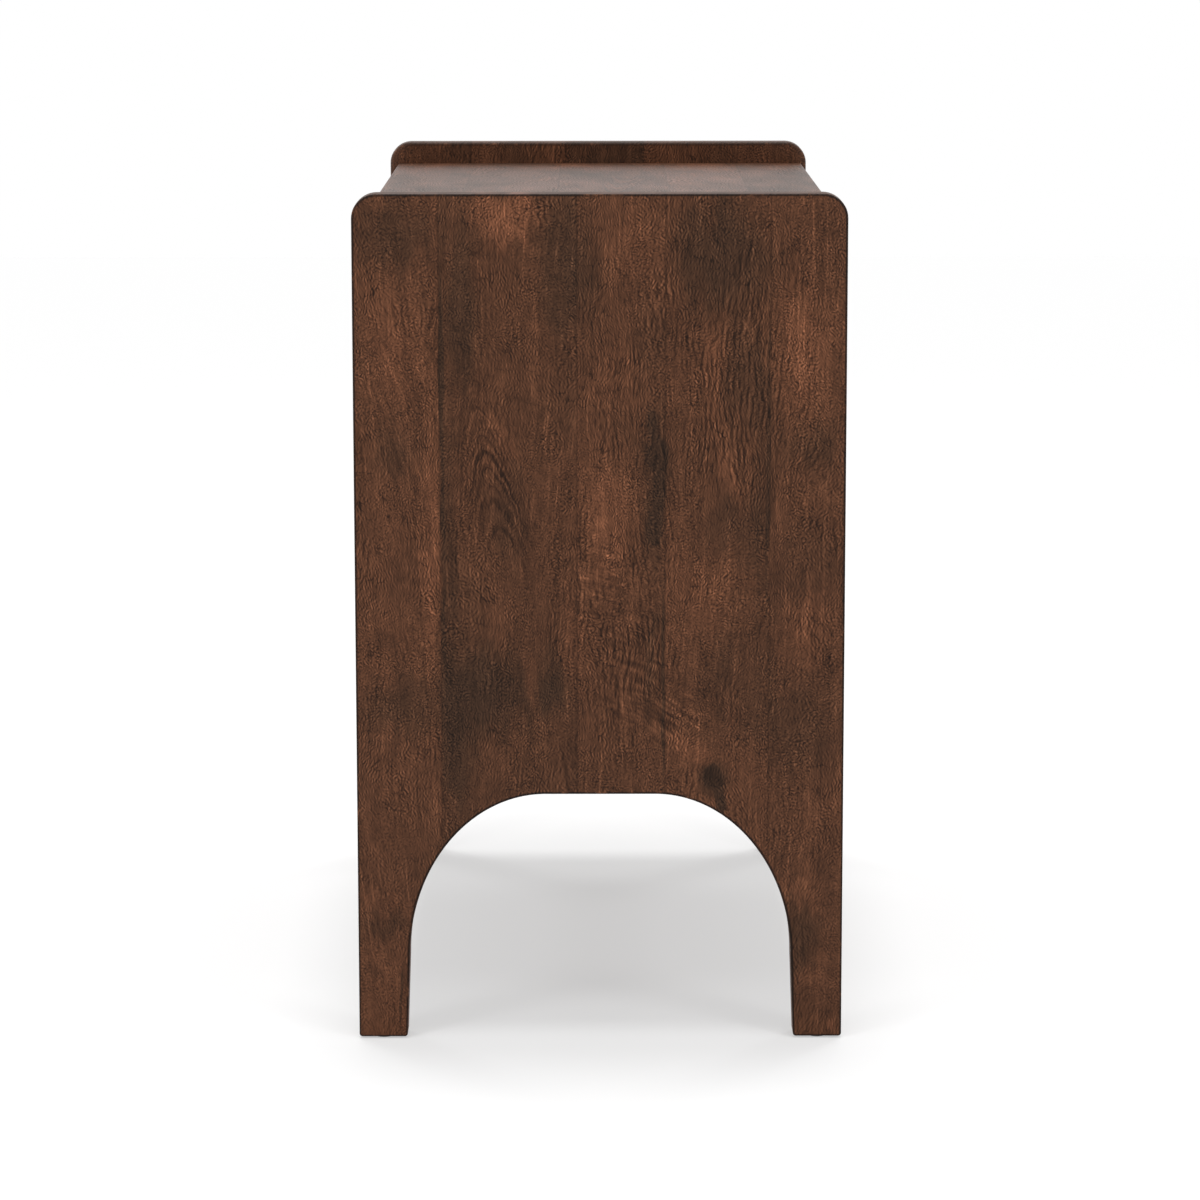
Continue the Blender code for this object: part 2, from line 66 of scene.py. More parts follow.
FACE_ROUND = 0.0018
FACE_BACK_ROUND = 0.0006
FACE_CORNER = 0.0026
SCOOP_WIDTH = 0.130
SCOOP_FLAT = 0.050
SCOOP_DEPTH = 0.026
SCOOP_LIP = 0.0040
SLIDE_WEB = 0.0012
SCREW_RADIUS = 0.0033
SCREW_HEIGHT = 0.0018

# Where the rounds of a panel change: the front and back edges, what lies above the arch, and the feet
EDGE_ZONE = 0.170
ABOVE_ARCH = 0.050
FOOT_ZONE = 0.004

# Shares of a size
RIM_START = 0.3
SCREW_PROFILE = ((1.0, 0.0), (1.0, 0.25), (0.95, 0.5), (0.82, 0.76), (0.66, 0.93), (0.56, 1.0))
RECESS_REACH = 0.50
RECESS_HALF = 0.11
RECESS_FLOOR = 0.30
SLIDE_SCREWS = (0.12, 0.42, 0.86)
FACE_SCREWS = (0.18, 0.82)

# Steps of the curves, and the angle from which a screw's edges are sharp, in degrees
ARC_STEPS = 12
SHOULDER_STEPS = 48
ROUND_STEPS = 6
SCREW_SHARP = 32

# Camera, as fitted to the photograph: metres, degrees and millimetres
CAMERA_PLACE = (3.7301, -0.0072, 0.9478)
CAMERA_PITCH = 9.714
CAMERA_YAW = 0.122
CAMERA_ROLL = -0.047
CAMERA_LENS = 126.07
CAMERA_SENSOR = 36.0

# From outline places (across, up, through) to the world
SIDE_VIEW = Matrix(((0, 0, 1), (1, 0, 0), (0, 1, 0)))
FRONT_VIEW = Matrix(((1, 0, 0), (0, 0, -1), (0, 1, 0)))

# From object places to board places (across the grain, along it, through the board)
UPRIGHT_GRAIN = ("Y", "Z", "X")
LEVEL_GRAIN = ("Y", "X", "Z")
FACE_GRAIN = ("Z", "X", "Y")
DEPTH_GRAIN = ("Z", "Y", "X")


# Outlines: lists of (point, outward normal), anticlockwise

def ellipse(centre, radii, start, end, steps, outward=1):
    """Part of an ellipse; outward is -1 where the wood lies outside it."""
    points = []
    for i in range(steps + 1):
        angle = math.radians(start + (end - start) * i / steps)
        unit = Vector((math.cos(angle), math.sin(angle)))
        point = Vector((centre[0] + radii[0] * unit.x, centre[1] + radii[1] * unit.y))
        normal = Vector((unit.x / radii[0], unit.y / radii[1])).normalized()
        points.append((point, normal * outward))
    return points


def fillet(before, corner, after):
    """The arc that rounds a corner (x, y, radius) between its two neighbours."""
    here = Vector(corner[:2])
    back = (before - here).normalized()
    on = (after - here).normalized()
    half = back.angle(on) / 2
    middle = (back + on).normalized()
    centre = here + middle * corner[2] / math.sin(half)
    sweep = math.pi - 2 * half
    outward = 1 if back.cross(on) < 0 else -1
    points = []
    for i in range(ARC_STEPS + 1):
        turn = Matrix.Rotation(outward * sweep * (i / ARC_STEPS - 0.5), 2)
        normal = turn @ -middle
        points.append((centre + normal * corner[2], normal * outward))
    return points


def outline_of(items):
    """A closed outline from corners (x, y, radius), which are rounded, and points that have their normals."""
    spots = [Vector(item[:2]) if len(item) == 3 else item[0] for item in items]
    points = []
    for i, item in enumerate(items):
        if len(item) == 3:
            points += fillet(spots[i - 1], item, spots[(i + 1) % len(items)])
        else:
            points.append(item)
    return points


def box_outline(low, high, radius):
    corners = ((low[0], low[1]), (high[0], low[1]), (high[0], high[1]), (low[0], high[1]))
    return outline_of([(x, y, radius) for x, y in corners])


def mirrored(half):
    """The mirror image of a half outline across the upright axis, from its end to its start."""
    other = [(Vector((-point.x, point.y)), Vector((-normal.x, normal.y))) for point, normal in half]
    return other[::-1]


# Meshes

def add_rings(bm, rings):
    """A closed skin over rings of places, with a flat cap at each end."""
    rows = [[bm.verts.new(place) for place in ring] for ring in rings]
    count = len(rows[0])
    for lower, upper in zip(rows, rows[1:]):
        for i in range(count):
            j = (i + 1) % count
            bm.faces.new((lower[i], lower[j], upper[j], upper[i]))
    bm.faces.new(rows[0][::-1])
    bm.faces.new(rows[-1])


def smooth_mesh(name, bm):
    bmesh.ops.recalc_face_normals(bm, faces=bm.faces)
    mesh = bpy.data.meshes.new(name)
    bm.to_mesh(mesh)
    bm.free()
    mesh.shade_smooth()
    return mesh


def skin(name, rings):
    """A closed mesh over rings of (place, normal, rim), with a flat cap at each end."""
    bm = bmesh.new()
    add_rings(bm, [[place for place, normal, rim in ring] for ring in rings])
    mesh = smooth_mesh(name, bm)
    flat = [entry for ring in rings for entry in ring]
    mesh.normals_split_custom_set_from_vertices([normal for place, normal, rim in flat])
    rims = mesh.attributes.new("rim", "FLOAT", "POINT")
    rims.data.foreach_set("value", [rim for place, normal, rim in flat])
    return mesh


def plate(name, outline, levels, rounds, turn):
    """An outline given thickness, with both arrises rounded and a rim that starts just inside them."""
    halves = []
    for side, level, size in ((-1, levels[0], rounds[0]), (1, levels[1], rounds[1])):
        corners = [(point, normal, size(point, normal)) for point, normal in outline]
        rings = [[inset_point(*corner, side, level, turn) for corner in corners]]
        for k in range(ROUND_STEPS + 1):
            angle = math.pi / 2 * k / ROUND_STEPS
            rings.append([rounded_point(*corner, angle, side, level, turn) for corner in corners])
        halves.append(rings)
    return skin(name, halves[0] + halves[1][::-1])


def inset_point(point, normal, radius, side, level, turn):
    """A place on the flat face, a little inside the rounded arris, where the rim has not begun."""
    place = point - normal * (radius + RIM_INSET)
    return turn @ Vector((place.x, place.y, level)), turn @ Vector((0, 0, side)), 0.0


def rounded_point(point, normal, radius, angle, side, level, turn):
    """A place on a rounded arris; the angle runs from the flat face to the edge, where the rim is gone."""
    place = point - normal * radius * (1 - math.sin(angle))
    through = level - side * radius * (1 - math.cos(angle))
    tilt = normal * math.sin(angle)
    rim = math.sin(math.pi * RIM_START + 2 * (1 - RIM_START) * angle)
    return (turn @ Vector((place.x, place.y, through)),
            turn @ Vector((tilt.x, tilt.y, side * math.cos(angle))),
            rim * min(1, RIM_WIDTH / radius))


def same_round(radius):
    return lambda point, normal: radius


def add_piece(name, mesh, material, body, slot, *replaced):
    """A piece in the scene that rides on a body and stands for CAD nodes."""
    piece = bpy.data.objects.new(name, mesh)
    bpy.context.scene.collection.objects.link(piece)
    mesh.materials.append(material)
    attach(piece, body)
    if replaced:
        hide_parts(*replaced)


# Node trees

# From metres to millimetres, the size of a patch through the board, and the middle of a noise's range
MILLIMETRES = 1000.0
ANY_DEPTH = 1000.0
NOISE_MIDDLE = 0.5

# How a shift moves the cells of a noise across the grain, along it and through the board
SHIFT_SHARES = (1.0, 1.7, 0.6)


class Graph:
    """Adds nodes to a tree and joins them; a value is a number, a tuple or another node's output."""

    def __init__(self, tree):
        self.tree = tree

    def add(self, kind, **settings):
        node = self.tree.nodes.new(kind)
        for key, value in settings.items():
            setattr(node, key, value)
        return node

    def put(self, socket, value):
        if isinstance(value, bpy.types.NodeSocket):
            self.tree.links.new(value, socket)
        else:
            socket.default_value = value

    def maths(self, operation, *values):
        node = self.add("ShaderNodeMath", operation=operation)
        for socket, value in zip(node.inputs, values):
            self.put(socket, value)
        return node.outputs[0]

    def plus(self, *values):
        total = values[0]
        for value in values[1:]:
            total = self.maths("ADD", total, value)
        return total

    def times(self, *values):
        total = values[0]
        for value in values[1:]:
            total = self.maths("MULTIPLY", total, value)
        return total

    def vector(self, operation, *values):
        node = self.add("ShaderNodeVectorMath", operation=operation)
        for socket, value in zip(node.inputs, values):
            self.put(socket, value)
        return node.outputs["Value"] if operation == "LENGTH" else node.outputs[0]

    def enlarged(self, vector, factor):
        """A vector or colour times a number."""
        node = self.add("ShaderNodeVectorMath", operation="SCALE")
        self.put(node.inputs["Vector"], vector)
        self.put(node.inputs["Scale"], factor)
        return node.outputs["Vector"]

    def shaded(self, colour, marks):
        """A colour made brighter or darker by a logarithm."""
        return self.enlarged(colour, self.maths("EXPONENT", marks))

    def combine(self, x, y, z=0.0):
        node = self.add("ShaderNodeCombineXYZ")
        for socket, value in zip(node.inputs, (x, y, z)):
            self.put(socket, value)
        return node.outputs[0]

    def separate(self, vector):
        node = self.add("ShaderNodeSeparateXYZ")
        self.put(node.inputs[0], vector)
        return node.outputs

    def noise(self, place, detail=0.0, rough=0.5, flat=True):
        """Soft noise from -0.5 to 0.5 and three such numbers as a vector."""
        node = self.add("ShaderNodeTexNoise", noise_dimensions="2D" if flat else "3D")
        self.put(node.inputs["Vector"], place)
        node.inputs["Scale"].default_value = 1.0
        node.inputs["Detail"].default_value = detail
        node.inputs["Roughness"].default_value = rough
        number = self.maths("SUBTRACT", node.outputs[0], NOISE_MIDDLE)
        triple = self.vector("SUBTRACT", node.outputs[1], (NOISE_MIDDLE, NOISE_MIDDLE, NOISE_MIDDLE))
        return number, triple

    def scaled(self, place, across, along, shift=0.0):
        """A place counted in cells of the given size, in millimetres."""
        node = self.add("ShaderNodeMapping", vector_type="POINT")
        self.put(node.inputs["Vector"], place)
        node.inputs["Location"].default_value = [shift * share for share in SHIFT_SHARES]
        node.inputs["Scale"].default_value = (1 / across, 1 / along, 1 / across)
        return node.outputs[0]

    def cell_noise(self, place, across, along, shift=0.0, **settings):
        """Soft noise from -0.5 to 0.5 in cells of the given size, in millimetres."""
        return self.noise(self.scaled(place, across, along, shift), **settings)[0]

    def seen_from(self, place, size, middle=(0, 0), lean=0.0):
        """A place counted from the middle of a patch, along the patch's own axes and in its own size."""
        node = self.add("ShaderNodeMapping", vector_type="TEXTURE")
        self.put(node.inputs["Vector"], place)
        node.inputs["Location"].default_value = (*middle, 0)
        node.inputs["Rotation"].default_value = (0, 0, math.radians(lean))
        node.inputs["Scale"].default_value = (*size, ANY_DEPTH)
        return node.outputs[0]

    def smooth(self, value, low, high, start=0.0, end=1.0):
        """A soft step from start, where the value is low, to end, where it is high."""
        node = self.add("ShaderNodeMapRange", interpolation_type="SMOOTHSTEP")
        for socket, setting in zip(node.inputs, (value, low, high, start, end)):
            self.put(socket, setting)
        return node.outputs[0]

    def blend(self, factor, first, second):
        node = self.add("ShaderNodeMix", data_type="FLOAT")
        for socket, value in zip((node.inputs[0], node.inputs[2], node.inputs[3]), (factor, first, second)):
            self.put(socket, value)
        return node.outputs[0]

    def tint(self, factor, first, second):
        node = self.add("ShaderNodeMix", data_type="RGBA")
        for socket, value in zip((node.inputs[0], node.inputs[6], node.inputs[7]), (factor, first, second)):
            self.put(socket, value)
        return node.outputs[2]

    def ramp(self, value, stops):
        """A colour from a number, through stops of (number, colour)."""
        node = self.add("ShaderNodeValToRGB")
        self.put(node.inputs[0], value)
        elements = node.color_ramp.elements
        while len(elements) < len(stops):
            elements.new(0.5)
        for element, (place, colour) in zip(elements, stops):
            element.position = place
            element.color = (*colour, 1)
        return node.outputs[0]

    def bump(self, height, distance):
        node = self.add("ShaderNodeBump")
        node.inputs["Distance"].default_value = distance
        self.put(node.inputs["Height"], height)
        return node.outputs[0]


def new_material(name):
    material = bpy.data.materials.new(name)
    material.use_nodes = True
    graph = Graph(material.node_tree)
    shader = material.node_tree.nodes["Principled BSDF"]
    return material, graph, shader


def board_place(graph, grain):
    """The place on a board in millimetres, and how far its surface faces along the grain."""
    coordinates = graph.add("ShaderNodeTexCoord")
    axes = graph.separate(coordinates.outputs["Object"])
    place = graph.combine(*[axes[axis] for axis in grain])
    facing = graph.separate(coordinates.outputs["Normal"])[grain[1]]
    return graph.enlarged(place, MILLIMETRES), graph.maths("ABSOLUTE", facing)


# Stained hardwood

DARK_STAIN = (0.0390, 0.0185, 0.0100)
DEEP_STAIN = (0.0570, 0.0246, 0.0125)
MIDDLE_STAIN = (0.0785, 0.0316, 0.0156)
WARM_STAIN = (0.1030, 0.0405, 0.0198)
LIGHT_STAIN = (0.1420, 0.0545, 0.0268)
STAINS = (DARK_STAIN, DEEP_STAIN, MIDDLE_STAIN, WARM_STAIN, LIGHT_STAIN)
TONE_REACH = 0.45
GLOSS = 0.12
STAVE_LEAN = 0.07
STAVE_SHIFT = (900.0, 4000.0, 0.0)
FAR_FROM_JOINT = 100.0
GLUE_LINE = (1.3, 0.2)
PORE_DEPTH = 0.00025
PORE_GLOSS = -0.3
STAIN_GLOSS = -0.08

# How far a surface faces along the grain where end grain begins, and where it is all end grain
END_GRAIN = (0.55, 0.85)

# Edges of patches: where one has faded out and where it is full, as shares of its half sizes
SOFT_EDGE = (1.4, 0.3)
FIRM_EDGE = (1.15, 0.6)

# How far the edges of patches wander across and along the grain, in millimetres
BROAD_RAGGED = (22.0, 70.0)
FINE_RAGGED = (5.0, 10.0)

# Bands of the figure: wave length in millimetres, stretch along the grain, and waves in one cell
MAZE = (2.4, 1.15, 1.7)
LOOPS = (6.2, 1.4, 1.5)
DASHES = (4.3, 2.0, 1.6)

# Where marks begin and where they are full, in the numbers of their bands
LINE_EDGE = (-0.04, -0.17)
DASH_EDGE = (-0.02, -0.16)
PALE_EDGE = (0.02, 0.2)
THREAD_EDGE = (0.030, 0.0)
GLINT_EDGE = (0.12, 0.24)
CURL_EDGE = (-0.16, 0.12)
WORN_EDGE = (0.06, 0.2)

# How far the figure drifts and curls, in millimetres, and how the curl turns its lines and takes their order
DRIFT = (22.0, 30.0, 0.0)
CURL_REACH = (4.2, 4.8)
MAZE_TURN = (1.8, 1.2)
MAZE_ORDER = (-0.60, 0.66)
DASH_TURN = 1.5
DASH_ORDER = 0.75

# Strengths of marks, as logarithms of brightness
LINE_DEPTH = -0.72
LINE_LIFT = 0.50
THREAD_DEPTH = -0.78
DASH_DEPTH = -0.85
DASH_LIFT = 0.30
GLINT_LIFT = 0.35
FIBRE = 0.80
BAND = 0.55
MOTTLE = 0.75
CLOUD = 0.68
FIGURE_LEVEL = 0.175
CALMING = -0.20
END_STAIN = -0.22
END_FIGURE = 0.3
END_SPECKLE = 1.2
GLUE_DEPTH = -0.30
# The rim line: stain in the arris and painted shade at edges and joints, lifted where worn
ARRIS_DEPTH = -1.8
ARRIS_WEAR = 2.2


def stave_shift(graph, place, joints, seed):
    """Gives each glued stave its own part of the figure, a random number and the distance to its joints."""
    across, along, through = graph.separate(place)
    number = seed
    line = FAR_FROM_JOINT
    for joint in joints:
        number = graph.plus(number, graph.maths("GREATER_THAN", across, joint))
        gap = graph.maths("ABSOLUTE", graph.maths("SUBTRACT", across, joint))
        line = graph.maths("MINIMUM", line, gap)
    pick = graph.add("ShaderNodeTexWhiteNoise", noise_dimensions="1D")
    graph.put(pick.inputs["W"], number)
    picked = graph.separate(pick.outputs["Color"])
    lean = graph.maths("MULTIPLY_ADD", picked[2], 2 * STAVE_LEAN, -STAVE_LEAN)
    leaning = graph.maths("MULTIPLY_ADD", along, lean, graph.plus(across, through))
    shift = graph.vector("MULTIPLY", pick.outputs["Color"], STAVE_SHIFT)
    return graph.vector("ADD", graph.combine(leaning, along), shift), pick.outputs["Value"], line


def gabor(graph, place, bands, lean, order):
    """Bands about one wave length apart, from a maze where order is 0 to straight lines where it is 1."""
    wave, stretch, frequency = bands
    node = graph.add("ShaderNodeTexGabor", gabor_type="2D")
    cell = wave * frequency
    graph.put(node.inputs["Vector"], graph.scaled(place, cell, cell * stretch))
    node.inputs["Scale"].default_value = 1.0
    node.inputs["Frequency"].default_value = frequency
    graph.put(node.inputs["Anisotropy"], order)
    graph.put(node.inputs["Orientation"], lean)
    return graph.maths("SUBTRACT", node.outputs["Value"], NOISE_MIDDLE)


def dark_and_pale(graph, bands, edge, depth, lift):
    """Dark lines where bands are low, and paler ones between them."""
    return graph.plus(graph.smooth(bands, *edge, 0.0, depth), graph.smooth(bands, *PALE_EDGE, 0.0, lift))


def figure_group():
    """The figure of one stave from its place: brightness as a logarithm, pores and cloudiness of the stain.

    Curl adds to how far the fine lines curl into a maze, Dash to how far they break into dark dashes, and
    Calm makes the maze fainter.
    """
    tree = bpy.data.node_groups.new("wood_figure", "ShaderNodeTree")
    for name, kind in (("Place", "Vector"), ("Curl", "Float"), ("Dash", "Float"), ("Calm", "Float")):
        tree.interface.new_socket(name, in_out="INPUT", socket_type=f"NodeSocket{kind}")
    for name in ("Figure", "Pores", "Tone"):
        tree.interface.new_socket(name, in_out="OUTPUT", socket_type="NodeSocketFloat")
    graph = Graph(tree)
    start = graph.add("NodeGroupInput")
    end = graph.add("NodeGroupOutput")
    place = start.outputs["Place"]
    drift = graph.noise(graph.scaled(place, 95, 230), detail=1)[1]
    bent = graph.vector("MULTIPLY_ADD", drift, DRIFT, place)
    curl_noise = graph.cell_noise(bent, 46, 80, 9.0, detail=1)
    curl = graph.smooth(graph.plus(curl_noise, start.outputs["Curl"]), *CURL_EDGE)
    ruffle = graph.noise(graph.scaled(bent, 7, 9, 1.0), detail=1)[1]
    reach = graph.combine(*[graph.times(curl, size) for size in CURL_REACH])
    curled = graph.vector("ADD", graph.vector("MULTIPLY", ruffle, reach), bent)
    swirl = graph.cell_noise(bent, 22, 34, 4.0, detail=1)
    maze_lean = graph.times(swirl, graph.maths("MULTIPLY_ADD", curl, *MAZE_TURN))
    order = graph.maths("MULTIPLY_ADD", curl, *MAZE_ORDER)
    maze = gabor(graph, curled, MAZE, maze_lean, order)
    lined = dark_and_pale(graph, maze, LINE_EDGE, LINE_DEPTH, LINE_LIFT)
    loops = gabor(graph, curled, LOOPS, maze_lean, order)
    thread = graph.smooth(graph.maths("ABSOLUTE", loops), *THREAD_EDGE, 0.0, THREAD_DEPTH)
    dashes = gabor(graph, curled, DASHES, graph.times(swirl, DASH_TURN), DASH_ORDER)
    dashed = dark_and_pale(graph, dashes, DASH_EDGE, DASH_DEPTH, DASH_LIFT)
    dash_noise = graph.cell_noise(bent, 30, 60, 21.0, detail=2)
    dash = graph.smooth(graph.plus(dash_noise, start.outputs["Dash"]), -0.08, 0.36, 0.10, 1.0)
    fibre = graph.cell_noise(bent, 2.6, 75, 2.0, detail=3, rough=0.65)
    band = graph.cell_noise(bent, 13, 170, 6.0, detail=2, rough=0.6)
    mottle = graph.cell_noise(curled, 5.5, 7, 14.0, detail=2, rough=0.6)
    cloud = graph.cell_noise(curled, 15, 24, 27.0, detail=2, rough=0.6)
    blotch = graph.cell_noise(bent, 62, 120, 3.0, detail=3, rough=0.55)
    strength = graph.cell_noise(bent, 26, 44, 12.0, detail=2, rough=0.7)
    strong = graph.smooth(strength, -0.22, 0.22, 0.55, 1.4)
    calm = graph.maths("MULTIPLY_ADD", start.outputs["Calm"], CALMING, 1.0)
    glint = graph.smooth(fibre, *GLINT_EDGE, 0.0, GLINT_LIFT)
    figure = graph.plus(
        graph.times(graph.plus(lined, thread), strong, calm),
        graph.times(dashed, dash, calm),
        graph.times(fibre, FIBRE),
        glint,
        graph.times(band, BAND),
        graph.times(mottle, MOTTLE),
        graph.times(cloud, CLOUD),
        FIGURE_LEVEL,
    )
    graph.put(end.inputs["Figure"], figure)
    graph.put(end.inputs["Pores"], graph.plus(maze, graph.times(dashed, dash, 0.3)))
    graph.put(end.inputs["Tone"], blotch)
    return tree


FIGURE = figure_group()


def spread(graph, place, patches, edge=SOFT_EDGE):
    """The sum of oval patches: (across, along, half width, half length, lean, strength)."""
    outer, inner = edge
    total = 0.0
    for across, along, wide, long, lean, strength in patches:
        spot = graph.seen_from(place, (wide * outer, long * outer), (across, along), lean)
        oval = graph.add("ShaderNodeTexGradient", gradient_type="SPHERICAL")
        graph.put(oval.inputs["Vector"], spot)
        near = graph.smooth(oval.outputs["Fac"], 0.0, 1 - inner / outer)
        total = graph.maths("MULTIPLY_ADD", near, strength, total)
    return total


def ragged(graph, place, across, along):
    """The place moved about along the grain, so that a patch on it has a streaky edge."""
    rough = graph.noise(graph.scaled(place, 16, 60, 7.0), detail=3, rough=0.65)[1]
    return graph.vector("MULTIPLY_ADD", rough, (across, along, 0.0), place)


def rim_stain_and_shade(graph, place):
    """The dark line along the rims, part stain in the arris and part painted shade at edges and joints, with
    pale worn spots.
    """
    rim = graph.add("ShaderNodeAttribute", attribute_name="rim").outputs["Fac"]
    wear = graph.cell_noise(place, 30, 30, 5.0, detail=3, rough=0.7, flat=False)
    worn = graph.smooth(wear, *WORN_EDGE)
    return graph.times(rim, rim, graph.maths("MULTIPLY_ADD", worn, ARRIS_WEAR, ARRIS_DEPTH))


def no_detail(graph, place):
    """The detail of a board without marks of its own: stain, marks, curl, dash and calm."""
    return 0.0, 0.0, 0.0, 0.0, 0.0


def stained_wood(name, grain, joints, seed, detail=no_detail, tone=0.0, blotch=1.1, vary=0.30,
                 rough=0.46, gloss=GLOSS):
    """Edge-glued hardwood under a dark satin stain; detail adds marks that belong to one board."""
    material, graph, shader = new_material(name)
    place, end_grain = board_place(graph, grain)
    added_stain, added_marks, *added = detail(graph, place)
    flat, stave, line = stave_shift(graph, place, joints, seed)
    figure = graph.add("ShaderNodeGroup")
    figure.node_tree = FIGURE
    for socket, value in zip(("Place", "Curl", "Dash", "Calm"), (flat, *added)):
        graph.put(figure.inputs[socket], value)
    shade = graph.maths("MULTIPLY_ADD", stave, vary, tone - vary / 2)
    stain = graph.plus(graph.maths("MULTIPLY_ADD", figure.outputs["Tone"], blotch, shade), added_stain)
    marks = graph.plus(figure.outputs["Figure"], added_marks)
    ends = graph.smooth(end_grain, *END_GRAIN)
    stain = graph.maths("MULTIPLY_ADD", ends, END_STAIN, stain)
    speckle = graph.cell_noise(place, 1.3, 1.3, 8.0, detail=3, rough=0.7, flat=False)
    end_marks = graph.plus(graph.times(marks, END_FIGURE), graph.times(speckle, END_SPECKLE))
    marks = graph.blend(ends, marks, end_marks)
    level = graph.maths("MULTIPLY_ADD", stain, 0.5 / TONE_REACH, 0.5)
    base = graph.ramp(level, [(i / (len(STAINS) - 1), colour) for i, colour in enumerate(STAINS)])
    glue = graph.smooth(line, *GLUE_LINE)
    # Dark glue lines, and the rim line, which is stain in the arris and painted shade at edges and joints
    marks = graph.plus(marks, graph.times(glue, GLUE_DEPTH), rim_stain_and_shade(graph, place))
    graph.put(shader.inputs["Base Color"], graph.shaded(base, marks))
    pores = figure.outputs["Pores"]
    roughness = graph.plus(rough, graph.times(pores, PORE_GLOSS), graph.times(stain, STAIN_GLOSS))
    graph.put(shader.inputs["Roughness"], roughness)
    shader.inputs["Specular IOR Level"].default_value = gloss
    graph.put(shader.inputs["Normal"], graph.bump(pores, PORE_DEPTH))
    return material


# Near side panel: its glue joints, and the patches that show in the photograph, in millimetres

PANEL_JOINTS = (-130.0, -18.6, 53.0, 138.0)
PANEL_STAIN = (
    (-74, 470, 60, 260, 0, 0.11),
    (98, 450, 50, 240, 0, -0.07),
    (-164, 668, 36, 32, 0, -0.28),
    (-111, 604, 13, 66, 0, -0.28),
    (-24, 640, 24, 56, 0, -0.30),
    (42, 582, 18, 30, 0, -0.14),
    (100, 652, 42, 50, 0, -0.40),
    (118, 556, 20, 50, 0, -0.26),
    (46, 486, 14, 46, -4, -0.26),
    (46, 440, 11, 50, -8, -0.20),
    (-95, 297, 42, 42, 0, -0.40),
    (-40, 298, 13, 32, 0, -0.36),
    (-78, 440, 18, 46, 0, -0.14),
    (-108, 372, 20, 30, 0, -0.10),
    (-167, 494, 20, 26, 0, -0.22),
    (174, 494, 20, 26, 0, -0.22),
    (110, 428, 24, 28, 0, -0.18),
    (172, 405, 24, 36, 0, -0.14),
    (131, 450, 7, 150, 0, -0.16),
    (44, 330, 5, 62, -6, -0.22),
    (-166, 278, 38, 28, 0, -0.26),
    (160, 262, 40, 44, 0, -0.18),
    (-123, 430, 8, 150, 0, -0.18),
    (-118, 236, 16, 40, 0, -0.26),
    (-75, 682, 30, 24, 0, 0.62),
    (24, 662, 26, 44, 0, 0.26),
    (14, 553, 18, 34, 0, 0.16),
    (92, 562, 9, 38, 0, 0.26),
    (6, 436, 24, 60, 0, 0.30),
    (-166, 582, 26, 54, 14, 0.20),
    (-137, 400, 8, 112, 0, 0.30),
    (165, 572, 30, 62, 0, 0.34),
    (82, 374, 30, 36, 0, 0.20),
    (112, 300, 28, 50, 0, -0.18),
    (-24, 350, 8, 50, 0, 0.22),
    (107, 466, 7, 36, 16, 0.26),
    (-76, 490, 6, 32, 28, 0.24),
    (-56, 300, 6, 24, 8, 0.22),
    (170, 346, 26, 30, 0, 0.20),
    (-174, 95, 26, 14, 0, -0.24),
    (-184, 62, 14, 8, 20, -0.16),
    (-180, 120, 16, 14, 0, 0.14),
    (166, 128, 22, 18, 0, 0.18),
    (166, 90, 16, 28, 0, -0.32),
    (172, 52, 20, 12, 0, 0.10),
    (158, 42, 8, 16, 0, -0.20),
    (191, 14, 5, 9, 0, 0.40),
)
PANEL_CORES = (
    (93, 221, 8, 11, 15, -1.10),
    (94, 220, 16, 17, 15, -0.30),
    (99, 201, 5, 13, 12, -0.50),
    (74, 246, 24, 10, -38, 0.28),
    (42, 514, 4.5, 14, 4, -0.32),
    (47, 490, 11, 15, 0, -0.46),
    (47.5, 470, 6, 5, 0, -0.35),
    (48, 454, 6, 15, 0, -0.36),
    (44, 430, 7.5, 17, -6, -0.32),
    (-165, 35, 1.2, 30, -4, -0.50),
    (-128.5, 566, 2.6, 80, 0, -0.40),
    (-128, 420, 2.4, 110, 0, -0.25),
    (52, 300, 1.6, 90, 0, -0.40),
    (136.5, 470, 1.8, 170, 0, -0.24),
    (-181, 36, 22, 60, 0, 0.14),
)
PANEL_KNOT = ((93, 221, 8, 11, 15, -0.40), (90, 224, 3, 6, 10, -0.30))

# Slanted strokes: their lean, width, length and strength, and the patch that shows them
SLANTS = (
    (21, 2.6, 60, 1.5, (-158, 520, 30, 90, 0, 1.0)),
    (56, 4.4, 24, 2.8, (60, 272, 24, 26, 0, 1.0)),
    (74, 5.0, 26, 2.0, (0, 382, 24, 44, 0, 1.0)),
    (68, 5.0, 26, 1.8, (28, 320, 30, 66, 0, 1.0)),
)

# Where the fine lines curl more, break into dashes and are calm
CURLY = ((-165, 560, 30, 120, 0, 0.12), (100, 340, 50, 80, 0, 0.15), (-95, 300, 50, 60, 0, 0.10),
         (115, 545, 40, 75, 0, -0.10), (30, 575, 40, 100, 0, -0.16), (-60, 520, 30, 110, 0, -0.10))
DASHED = ((112, 545, 42, 80, 0, 0.5), (20, 350, 40, 90, 0, 0.28), (30, 560, 40, 110, 0, 0.22),
          (165, 600, 25, 90, 0, 0.1))
CALMED = ((-178, 60, 36, 130, 0, 1.8), (178, 60, 36, 130, 0, 1.8))

# Pointed arches in the figure: the height of the tip, the width of the line and its strength
PEAKS = ((549, 1.8, -0.40), (530, 2.0, -0.65), (526, 2.0, 0.30), (518, 1.6, -0.45), (504, 2.0, -0.55),
         (499, 2.4, 0.30), (492, 3.2, -0.95), (484, 2.4, 0.35), (477, 2.4, -0.75), (470, 2.4, 0.35),
         (463, 1.8, -0.55), (452, 5.0, -0.60), (441, 3.0, 0.30), (430, 4.0, -0.80))

